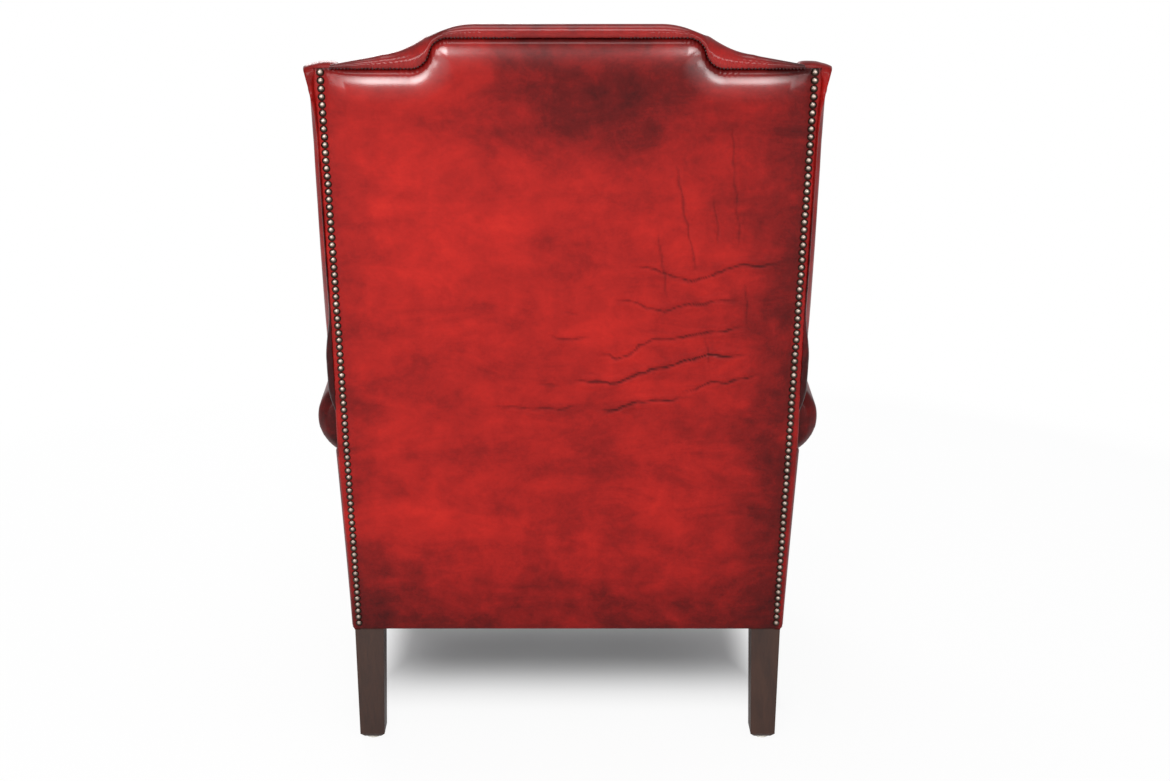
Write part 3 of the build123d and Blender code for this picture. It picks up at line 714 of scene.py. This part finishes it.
def creased(flat, depth):
    """The panel's depth with its creases pressed in, and the painted shade along each crease."""
    groove, lip, wobble = 0.0011, 0.0006, 0.0012
    dark = np.zeros(len(flat))
    waved = flat + wobble * np.sin(flat[:, ::-1] * 160 + 0.8 * np.sin(flat * 410))
    for strength, line in CREASES:
        line = np.array(line) / 1000
        gap = segment_distance(waved, line)
        ends = [np.linalg.norm(flat - line[end], axis=1) for end in (0, -1)]
        strength = strength * np.clip(np.minimum(*ends) / 0.018, 0.15, 1)
        depth = depth - groove * strength * bell(gap, width=0.0020)
        depth = depth + lip * strength * bell(gap - 0.006, width=0.004)
        # painted shade in the crease's groove
        dark = np.maximum(dark, 0.75 * strength * bell(gap, width=0.0016))
    return depth, dark


def panel_shade(flat, seam_gap, side_gap):
    """Darkening of the leather: painted shade in the crest seam, along the sides and at the foot,
    deeper on the right; a large darker cloud under the crest and a lighter patch left of the
    middle.
    """
    x, rise = flat.T
    # painted shade along the sides, deeper on the right, in the crest seam and at the foot
    edge = np.where(x > 0, 0.22, 0.55) * grown(side_gap - 0.005, reach=0.006)
    shade = 0.75 * fade(seam_gap, reach=0.006)
    shade += edge * fade(side_gap, reach=0.030) + 0.35 * fade(rise, reach=0.030)
    shade += 0.62 * bell(x + 0.06, width=0.16) * bell(rise - 0.86, width=0.09)
    shade += 0.30 * bell(rise - 0.05, width=0.07) + 0.25 * bell(x + 0.30, width=0.05)
    return shade - 0.22 * bell(x - 0.22, width=0.14) * bell(rise - 0.62, width=0.28)


def panel_polish(flat, seam_gap, side_gap):
    """The waxed shine along the rolled rim, weaker at the sides and in the middle."""
    beyond = seam_gap - RIM_SHINE
    polish = 1.05 * bell(beyond, width=np.where(beyond < 0, 0.007, 0.013))
    polish *= np.clip((side_gap - 0.030) / 0.050, 0.1, 1)
    return polish * np.clip((np.abs(flat[:, 0]) - 0.02) / 0.14, 0.55, 1)


def outside_back():
    """The outside back: taut leather that rolls in at the crest seam, creased by use."""
    step = np.arange(0.150, 0.224, 0.0012)      # closer columns where the seam steps down
    columns = np.concatenate([np.linspace(-PANEL_HALF, PANEL_HALF, 250), step, -step])
    columns = np.unique(np.round(columns, 5)) / PANEL_HALF
    rim = 0.955                                 # closer rows from this share of the height
    rows = np.concatenate([np.linspace(0, rim, 300), np.linspace(rim, 1, 34)[1:]])
    column, row = np.meshgrid(columns, rows)
    rise = row * seam_rise(column * PANEL_TOP_HALF)
    x = column * panel_half(rise)
    flat = np.stack([x.ravel(), rise.ravel()], axis=1)
    seam_x = np.unique(np.concatenate([np.linspace(-0.36, 0.36, 220), step, -step]))
    seam_gap = segment_distance(flat, np.stack([seam_x, seam_rise(seam_x)], axis=1))
    side_gap = panel_half(flat[:, 1]) - np.abs(flat[:, 0])

    depth, dark = creased(flat, taut_depth(flat, seam_gap, side_gap))
    points = on_back(flat[:, 0], depth, flat[:, 1]).reshape(*x.shape, 3)
    hem = points[0] - HEM * REARWARD
    obj = grid_object("outside_back", np.concatenate([hem[None], points]))
    hemmed = np.zeros(len(columns))
    shade = panel_shade(flat, seam_gap, side_gap)
    polish = panel_polish(flat, seam_gap, side_gap)
    # the turned-in hem gets painted shade; the creases' painted shade has its own attribute
    set_attribute(obj, "shade", np.concatenate([hemmed + 0.5, shade]))
    set_attribute(obj, "crease_shade", np.concatenate([hemmed, dark]))
    set_attribute(obj, "polish", np.concatenate([hemmed, polish]))
    dress(obj, "leather", "chair_frame", "outside_back_cover")


def inside_face_y(z):
    """The front of the stuffed back at the height z, fullest at mid height."""
    level = (z - BASE) / (CREST_SEAM * math.cos(RAKE))
    swell = BACK_SWELL * np.clip(1 - (2 * level - 1.0) ** 2, 0, 1)
    return back_y(z, BACK_DEPTH) - swell


def inside_back():
    """The stuffed back and its crest roll, as one skin from the rear seam over to the deck."""
    step = np.arange(0.115, 0.270, 0.0025)      # closer columns where the crest steps down
    columns = np.unique(np.concatenate([np.linspace(-BACK_HALF, BACK_HALF, 130), step, -step]))
    seam = seam_rise(columns)
    top = roll_rise(columns)
    gathers = ROLL_PUCKER * puckers(columns, pitch=0.0068, sway=2, turns=90)
    rows = []

    # Out of the seam, then up the rear of the roll
    start = math.radians(-20)
    for angle in np.linspace(math.radians(-85), start, 7):
        depth = ROLL_PROUD - ROLL_TUCK * (1 - math.cos(angle)) - gathers
        rows.append(on_back(columns, depth, seam + ROLL_TUCK * (1 + math.sin(angle))))
    foot = seam + ROLL_TUCK * (1 + math.sin(start))
    lean = 0.66                                 # how far the roll leans in for its height
    for angle in np.linspace(start, math.radians(90), 22)[1:]:
        share = (math.sin(angle) - math.sin(start)) / (1 - math.sin(start))
        depth = ROLL_PROUD - lean * (top - seam) * (math.cos(start) - math.cos(angle))
        depth = depth - gathers * (1 - share) ** 2
        rows.append(on_back(columns, depth, foot + share * (top - foot)))

    # Over the top, round its front edge and down the inside
    _, crest_y, crest_z = rows[-1].T
    drop = 0.010
    tucked_z = DECK - 0.012
    front_z = crest_z - drop
    centre_z = front_z - ROLL_FRONT
    centre_y = inside_face_y(centre_z) + ROLL_FRONT
    for share in np.linspace(0.06, 0.94, 12):
        y = crest_y + share * (centre_y - crest_y)
        z = crest_z + share**1.3 * (front_z - crest_z)
        rows.append(np.stack([columns, y, z], axis=1))
    for angle in np.radians(np.linspace(0, 90, 14)):
        y = centre_y - ROLL_FRONT * math.sin(angle)
        z = centre_z + ROLL_FRONT * math.cos(angle)
        rows.append(np.stack([columns, y, z], axis=1))
    for share in np.linspace(0, 1, 110)[1:]:
        z = centre_z + share * (tucked_z - centre_z)
        rows.append(np.stack([columns, inside_face_y(z), z], axis=1))

    obj = grid_object("inside_back", np.stack(rows))
    points = coordinates(obj)
    x, _, z = points.T
    seam_gap = segment_distance(points, on_back(columns, 0.0, seam))
    top_gap = np.abs(z - BASE - roll_rise(x) * math.cos(RAKE))
    # painted shade in the crest seam, where the back meets the wings, along the roll's top and low
    # down behind the cushion
    shade = 0.6 * fade(seam_gap, reach=0.004) + 0.35 * fade(BACK_HALF - np.abs(x), reach=0.03)
    shade += 0.45 * fade(top_gap, reach=0.008) + 0.3 * fade(z - SEAT_LINE, reach=0.05)
    finish_soft(obj, shade, "inside_back_cover", "back_padding")


def seam_gathers():
    """Small tucks where the outside back is pulled into the crest seam, sunk in its middle."""
    middle = 0.07
    across = np.linspace(-BACK_HALF, BACK_HALF, 400)
    seam = np.stack([across, seam_rise(across)], axis=1)
    places = []
    for x, rise in evenly(seam, GATHER_PITCH):
        depth = 0.0008 if abs(x) > middle else -0.0010
        places.append((on_back(x, depth, rise + GATHER_RISE), REARWARD))
    # the tucks are painted near black: painted shade in the depth of the seam
    finish_soft(domes("seam_gathers", places, GATHER_RADIUS, GATHER_HEIGHT), 1.1)


def back_nails(side, sign):
    """The close nails down one edge of the back."""
    places = []
    for x, rise in nail_places(sign):
        x += rng.normal(0, NAIL_SCATTER)
        places.append((on_back(x, -NAIL_SUNK, rise), REARWARD))
    heads = domes("nails_" + side, places, NAIL_RADIUS, NAIL_HEIGHT)
    dress(heads, "nails", "chair_frame", "back_nails_" + side)


# Wings and arms

def wing_frame(sign):
    """The wing's own axes: x outwards from its panel, with y and z as in its side view."""
    pivot = Matrix.Translation(WING_PIVOT)
    back = Matrix.Translation((0.0, -WING_PIVOT[1], -WING_PIVOT[2]))
    turned = Matrix.Rotation(WING_LEAN, 4, "Y") @ Matrix.Rotation(WING_FLARE, 4, "Z")
    return Matrix.Scale(sign, 4, (1, 0, 0)) @ pivot @ turned @ back


def wing(side, sign):
    """A stuffed wing; its edge roll runs out smoothly where it meets the back's nailed edge."""
    nodes = ["wing_padding_" + side, "inside_wing_cover_" + side, "outside_wing_cover_" + side]
    obj = softened("wing_" + side, nodes, voxel=0.0045, passes=14)
    points = coordinates(obj)
    to_world = np.array(wing_frame(sign))
    to_wing = np.linalg.inv(to_world)
    local = points @ to_wing[:3, :3].T + to_wing[:3, 3]
    x, y, z = local.T.copy()
    ahead = back_y(z) - y
    near = ease(1 - (ahead - 0.010) / 0.055)
    outside = grown(x + 0.006, reach=0.006)
    above = 1 - grown(WING_TOP - z, reach=0.110)
    low = ease(np.minimum((WING_FOOT_HIGH - z) / 0.080, (z - WING_FOOT_LOW) / 0.050))
    flare = WING_PROUD * above**2 + WING_FOOT_PROUD * low
    local[:, 0] += near * outside * (flare - np.maximum(x, 0))
    high = grown(z - WING_TOP + 0.030, reach=0.025)
    dip = 0.009 * fade(ahead, reach=0.011) + 0.085 * np.maximum(ahead - 0.02, 0)
    local[:, 2] += high * (0.004 - dip)
    local[:, 1] += 0.003 * fade(ahead, reach=0.010)
    set_coordinates(obj, local @ to_world[:3, :3].T + to_world[:3, 3])

    y, z = points[:, 1], points[:, 2]
    # painted shade on the side near the back, less high up, at the foot where the wing meets the
    # arm and along its top
    edge = fade(np.abs(y - back_y(z)), reach=0.06)
    shade = 0.85 * edge * (1 - 0.85 * grown(z - 0.82, reach=0.16))
    shade += 0.4 * fade(z - 0.56, reach=0.04) + 0.3 * fade(WING_TOP - z, reach=0.010)
    polish = STUFFED_POLISH * (1 - edge) * (1 - fade(WING_TOP - z, reach=0.02))
    finish_soft(obj, shade, *nodes, polish=polish)


def scroll_arm(side):
    """A stuffed scroll arm, lifted and slimmer towards the back."""
    nodes = ["arm_padding_" + side, "inside_arm_cover_" + side]
    obj = softened("arm_" + side, nodes, voxel=0.0045, passes=10)
    points = coordinates(obj)
    x, y, z = points.T.copy()
    along = grown(y - ARM_FRONT, reach=ARM_REAR - ARM_FRONT)
    roll_foot, roll_inner = 0.40, 0.31
    points[:, 2] += ARM_LIFT * along * grown(z - roll_foot, reach=0.07)
    points[:, 0] -= np.sign(x) * ARM_TAPER * along * grown(np.abs(x) - roll_inner, reach=0.06)
    set_coordinates(obj, points)
    # painted shade towards the rear, where the arm meets the back, and at its front end by the
    # facing
    shade = 0.65 * fade(ARM_REAR + 0.02 - y, reach=0.07) + 0.3 * fade(y - ARM_FRONT, reach=0.02)
    polish = STUFFED_POLISH * (1 - fade(ARM_REAR - y, reach=0.10))
    finish_soft(obj, shade, *nodes, polish=polish)


def outside_arm(side, sign):
    """The outside arm panel, slightly filled between its edges."""
    node = "outside_arm_cover_" + side
    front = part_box(node)[0][1]
    u, v = np.meshgrid(np.linspace(0, 1, 90), np.linspace(0, 1, 50))
    top_front = ARM_Z_FRONT - ARM_RADIUS * math.sin(math.radians(52))
    top_rear = ARM_Z_REAR + ARM_LIFT - ARM_RADIUS * math.sin(math.radians(40))
    z = BASE + (top_front + (top_rear - top_front) * u - BASE) * v
    y = front + u * (back_y(z, depth=0.002) - front)
    splay = (BACK_Y - y) * SIDE_SPLAY / (BACK_Y - ARM_FRONT)
    x = SIDE_HALF + splay + (z - BASE) * math.tan(SIDE_LEAN) + 1.4 * ARM_FLARE * v**1.5
    fill = np.clip(np.sin(math.pi * u) * np.sin(math.pi * v), 0, 1) ** 0.7
    x += SIDE_FILL * (fill + np.sqrt(np.sin(math.pi * u)) * v**2)
    length, height = 0.62, 0.33
    edge = np.minimum(length * np.minimum(u, 1 - u), height * np.minimum(v, 1 - v))
    x -= round_in(edge, radius=0.004)
    points = np.pad(np.stack([x, y, z], axis=-1), ((1, 1), (1, 1), (0, 0)), mode="edge")
    points[:, :, 0] -= np.pad(np.zeros_like(x), 1, constant_values=HEM)
    points[:, :, 0] *= sign
    obj = grid_object("outside_arm_" + side, points, flip=sign > 0)
    # painted shade along its rolled-in edges, where it meets the other parts
    finish_soft(obj, 0.45 * fade(np.pad(edge, 1).ravel(), reach=0.025), node)


def facing_outline(sign, inset):
    """Points round the scroll facing's rim, drawn in by inset, from one foot to the other."""
    centre_x = ARM_INNER + ARM_RADIUS
    radius = ARM_RADIUS - FACING_MARGIN - inset
    inner = FACING_INNER + inset
    outer = FACING_OUTER - inset
    foot = BASE + FACING_FOOT + inset
    start = math.acos((outer - centre_x) / radius)
    stop = math.acos((inner - centre_x) / radius)
    points = [(outer, foot)]
    for angle in np.linspace(-start, stop, 60):
        points.append((centre_x + radius * math.cos(angle), ARM_Z_FRONT + radius * math.sin(angle)))
    points.append((inner, foot))
    return [(sign * x, z) for x, z in points]


def facing(side, sign):
    """The scroll facing that closes the front of an arm, close nailed round its rim."""
    node = "arm_facing_" + side
    obj = softened("facing_" + side, [node], voxel=0.0022, passes=5)
    points = coordinates(obj)
    rim = np.array(facing_outline(sign, inset=0.0))
    gap = segment_distance(points[:, [0, 2]], np.vstack([rim, rim[:1]]))
    front = points[:, 1] < ARM_FRONT - 0.005
    points[:, 1] -= np.where(front, FACING_CROWN * (1 - bell(gap, width=0.016)), 0)
    set_coordinates(obj, points)
    # painted shade round the sunken rim
    finish_soft(obj, 0.5 * fade(gap, reach=0.012), node)
    places = []
    for x, z in evenly(facing_outline(sign, FACING_NAIL_INSET), NAIL_PITCH):
        places.append(((x, ARM_FRONT - FACING_NAIL_DEPTH, z), (0, -1, 0)))
    heads = domes("facing_nails_" + side, places, NAIL_RADIUS, NAIL_HEIGHT)
    dress(heads, "nails", "chair_frame")


# Seat

def front_border():
    """The padded border under the cushion, widened to close on the facings."""
    nodes = ["front_border_cover", "front_border_padding"]
    obj = softened("front_border", nodes, voxel=0.004, passes=8)
    points = coordinates(obj)
    x = points[:, 0].copy()
    widening, band = 0.006, 0.02
    end_gap = np.abs(x).max() - np.abs(x)
    points[:, 0] += np.sign(x) * widening * grown(band - end_gap, reach=band)
    set_coordinates(obj, points)
    # painted shade towards its foot
    finish_soft(obj, 0.5 * fade(points[:, 2] - BASE, reach=0.02), *nodes)


def deck():
    """The seat deck under the cushion."""
    nodes = ["seat_deck_cover", "seat_deck_padding"]
    obj = softened("seat_deck", nodes, voxel=0.006, passes=6)
    finish_soft(obj, 0.3, *nodes)


def cushion_welts(pad):
    """Piping round the cushion's top and bottom seams, laid on its blown-up surface."""
    tree = BVHTree.FromObject(pad, bpy.context.evaluated_depsgraph_get())
    middle = (WELT_FRONT + WELT_REAR) / 2
    reach = (WELT_REAR - WELT_FRONT) / 2
    corner_x = WELT_HALF_FRONT - WELT_CORNER
    corner_y = WELT_FRONT + WELT_CORNER
    plan = [(WELT_HALF_REAR, WELT_REAR), (WELT_HALF_FRONT, corner_y)]
    for angle in np.radians(np.linspace(0, 90, 8)):
        across = WELT_CORNER * math.cos(angle)
        forward = WELT_CORNER * math.sin(angle)
        plan.append((corner_x + across, corner_y - forward))
    plan += [(-x, y) for x, y in reversed(plan)]
    for name, share, crown in (("top", 0.86, 0.8 * CUSHION_CROWN), ("bottom", 0.12, 0.0)):
        line = []
        for x, y in evenly(plan, pitch=0.008):
            level = CUSHION_LOW + share * CUSHION_RISE - crown * ((y - middle) / reach) ** 2
            spot, normal, _, _ = tree.find_nearest(Vector((x, y, level)))
            line.append(spot + normal * WELT_LIFT)
        tube("cushion_welt_" + name, line, WELT, body="cushion")


def blow_up(obj):
    """Fill a cushion by a short cloth simulation, held close to its solid."""
    rest = coordinates(obj)
    cloth = obj.modifiers.new("cloth", "CLOTH")
    cloth.settings.use_pressure = True
    cloth.settings.uniform_pressure_force = 4.0
    cloth.settings.effector_weights.gravity = 0.0
    cloth.settings.quality = 5
    scene = bpy.context.scene
    for number in range(1, 21):
        scene.frame_set(number)
    apply_modifiers(obj)
    scene.frame_set(1)
    most = np.array([0.003, 0.008, 0.010])
    moved = np.clip(coordinates(obj) - rest, -most, most)
    on_deck = rest[:, 2] < DECK + 0.03
    moved[:, 2] = np.where(on_deck, np.maximum(moved[:, 2], 0.0), moved[:, 2])
    set_coordinates(obj, rest + moved)


def cushion():
    """The loose cushion, blown up between its seams."""
    obj = softened("cushion", ["cushion_filling"], voxel=0.006, passes=6)
    blow_up(obj)
    smooth = obj.modifiers.new("smooth", "SMOOTH")
    smooth.iterations = 4
    subdivide = obj.modifiers.new("subdivide", "SUBSURF")
    subdivide.levels = 1
    subdivide.render_levels = 1
    apply_modifiers(obj)
    z = coordinates(obj)[:, 2]
    # darker towards its top and its bottom; at the bottom this is painted shade where it sits on
    # the deck
    shade = 0.3 * np.exp(-np.minimum(z - DECK, 0.48 - z) / 0.02)
    finish_soft(obj, shade, "cushion_cover", "cushion_filling", body="cushion")
    cushion_welts(obj)


def dust_cover():
    """The black cloth under the seat, sagging a little between its tacks."""
    low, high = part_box("dust_cover")
    u, v = np.meshgrid(np.linspace(0, 1, 60), np.linspace(0, 1, 56))
    x = low[0] + (high[0] - low[0]) * u
    y = low[1] + (high[1] - low[1]) * v
    z = low[2] + 0.0005 - DUST_SAG * np.sin(math.pi * u) * np.sin(math.pi * v)
    obj = grid_object("dust_cloth", np.stack([x, y, z], axis=-1), flip=True)
    thick = obj.modifiers.new("thick", "SOLIDIFY")
    thick.thickness = DUST_CLOTH
    apply_modifiers(obj)
    dress(obj, "dust_cloth", "chair_frame", "dust_cover")


# Finishes of the CAD nodes that stay
for subpart in frame["record"]["subparts"]:
    node = frame["nodes"][subpart["node"]]
    node.data.materials.clear()
    node.data.materials.append(MATERIALS[subpart["material_slot"]])

outside_back()
inside_back()
front_border()
deck()
cushion()
dust_cover()
seam_gathers()
for side, sign in SIDES:
    wing(side, sign)
    scroll_arm(side)
    outside_arm(side, sign)
    facing(side, sign)
    back_nails(side, sign)


# Room, lights and camera

def area_light(name, place, target, size, power):
    """A soft lamp at this place that faces its target."""
    light = bpy.data.lights.new(name, "AREA")
    light.shape = "RECTANGLE"
    light.size, light.size_y = size
    light.energy = power
    obj = bpy.data.objects.new(name, light)
    obj.location = place
    aim = Vector(target) - Vector(place)
    obj.rotation_euler = aim.to_track_quat("-Z", "Y").to_euler()
    bpy.context.collection.objects.link(obj)


def seen_rays(add):
    """1 for the rays that show the background to the camera, also by way of metal and glass."""
    path = add("ShaderNodeLightPath")
    glossy = math_node(add, "MULTIPLY", path.outputs["Is Glossy Ray"], 0.35)
    seen = math_node(add, "ADD", path.outputs["Is Camera Ray"], glossy)
    return math_node(add, "ADD", seen, path.outputs["Is Transmission Ray"], True)


def floor():
    """A pale floor that reads as the white ground and keeps the shadow under the seat."""
    corners = [(-30, -30, 0), (30, -30, 0), (30, 30, 0), (-30, 30, 0)]
    obj = mesh_object("floor", corners, [(0, 1, 2, 3)])
    material, add = new_material("pale_floor")
    diffuse = add("ShaderNodeBsdfDiffuse", {"Color": (0.90, 0.90, 0.90, 1)})
    glow = add("ShaderNodeEmission", {"Color": (1, 1, 1, 1), "Strength": 1.0})
    where = position(add)
    axes = add("ShaderNodeSeparateXYZ", {"Vector": where}).outputs
    beside = math_node(add, "ABSOLUTE", axes["X"])
    ahead = math_node(add, "ABSOLUTE", math_node(add, "ADD", axes["Y"], 0.20))
    away = add("ShaderNodeVectorMath", {0: where}, operation="LENGTH").outputs["Value"]
    # How white the ground is by its distance to each side, in front or behind, and in all
    steps = ((beside, 0.27, 0.36, 0.93), (ahead, 0.13, 0.37, 0.93), (away, 0.6, 2.0, 1.0))
    share = None
    for distance, near, far, most in steps:
        reach = add(
            "ShaderNodeMapRange",
            {"Value": distance, "From Min": near, "From Max": far, "To Min": 0.0, "To Max": most},
            interpolation_type="SMOOTHSTEP",
        ).outputs["Result"]
        share = reach if share is None else math_node(add, "MAXIMUM", share, reach)
    share = math_node(add, "MULTIPLY", seen_rays(add), share)
    mix = add("ShaderNodeMixShader", {0: share, 1: diffuse.outputs[0], 2: glow.outputs[0]})
    add("ShaderNodeOutputMaterial", {"Surface": mix.outputs[0]})
    obj.data.materials.append(material)


def world():
    """Even studio light, with a white ground where the camera looks past the floor."""
    scene_world = bpy.data.worlds.new("studio")
    bpy.context.scene.world = scene_world
    scene_world.use_nodes = True
    scene_world.node_tree.nodes.clear()
    add = adder(scene_world.node_tree)
    ambient = add("ShaderNodeBackground", {"Color": (0.96, 0.97, 1.0, 1), "Strength": 0.40})
    white = add("ShaderNodeBackground", {"Color": (1, 1, 1, 1), "Strength": 1.0})
    parts = {0: seen_rays(add), 1: ambient.outputs[0], 2: white.outputs[0]}
    mix = add("ShaderNodeMixShader", parts)
    add("ShaderNodeOutputWorld", {"Surface": mix.outputs[0]})


def camera():
    """The photograph's view, squarely from behind and a little from above."""
    data = bpy.data.cameras.new("camera")
    data.lens = 54.6
    data.sensor_width = 36.0
    data.shift_x = 0.0149
    data.clip_end = 200
    obj = bpy.data.objects.new("camera", data)
    obj.location = (0.0, 2.798, 1.313)
    obj.rotation_euler = (math.radians(73.8), 0.0, math.pi)
    bpy.context.collection.objects.link(obj)
    bpy.context.scene.camera = obj


floor()
world()
camera()
area_light("left_strip", (1.0, 3.2, 1.0), (0, 0.3, 0.9), (1.2, 0.50), 21)
area_light("right_strip", (-1.0, 3.2, 1.0), (0, 0.3, 0.9), (1.2, 0.50), 14)
area_light("left_low", (1.9, 3.0, 0.62), (0, 0.3, 0.8), (0.8, 0.7), 15)
area_light("right_low", (-1.9, 3.0, 0.62), (0, 0.3, 0.8), (0.8, 0.7), 11)
area_light("key", (0.2, 3.0, 2.9), (0, 0.3, 0.8), (1.8, 0.9), 44)
area_light("overhead", (0.0, 0.6, 3.0), (0, 0.0, 0.6), (1.6, 1.0), 20)
area_light("front_fill", (0.8, -2.6, 2.2), (0, 0, 0.6), (1.6, 1.0), 42)
bpy.context.scene.view_settings.view_transform = "Standard"
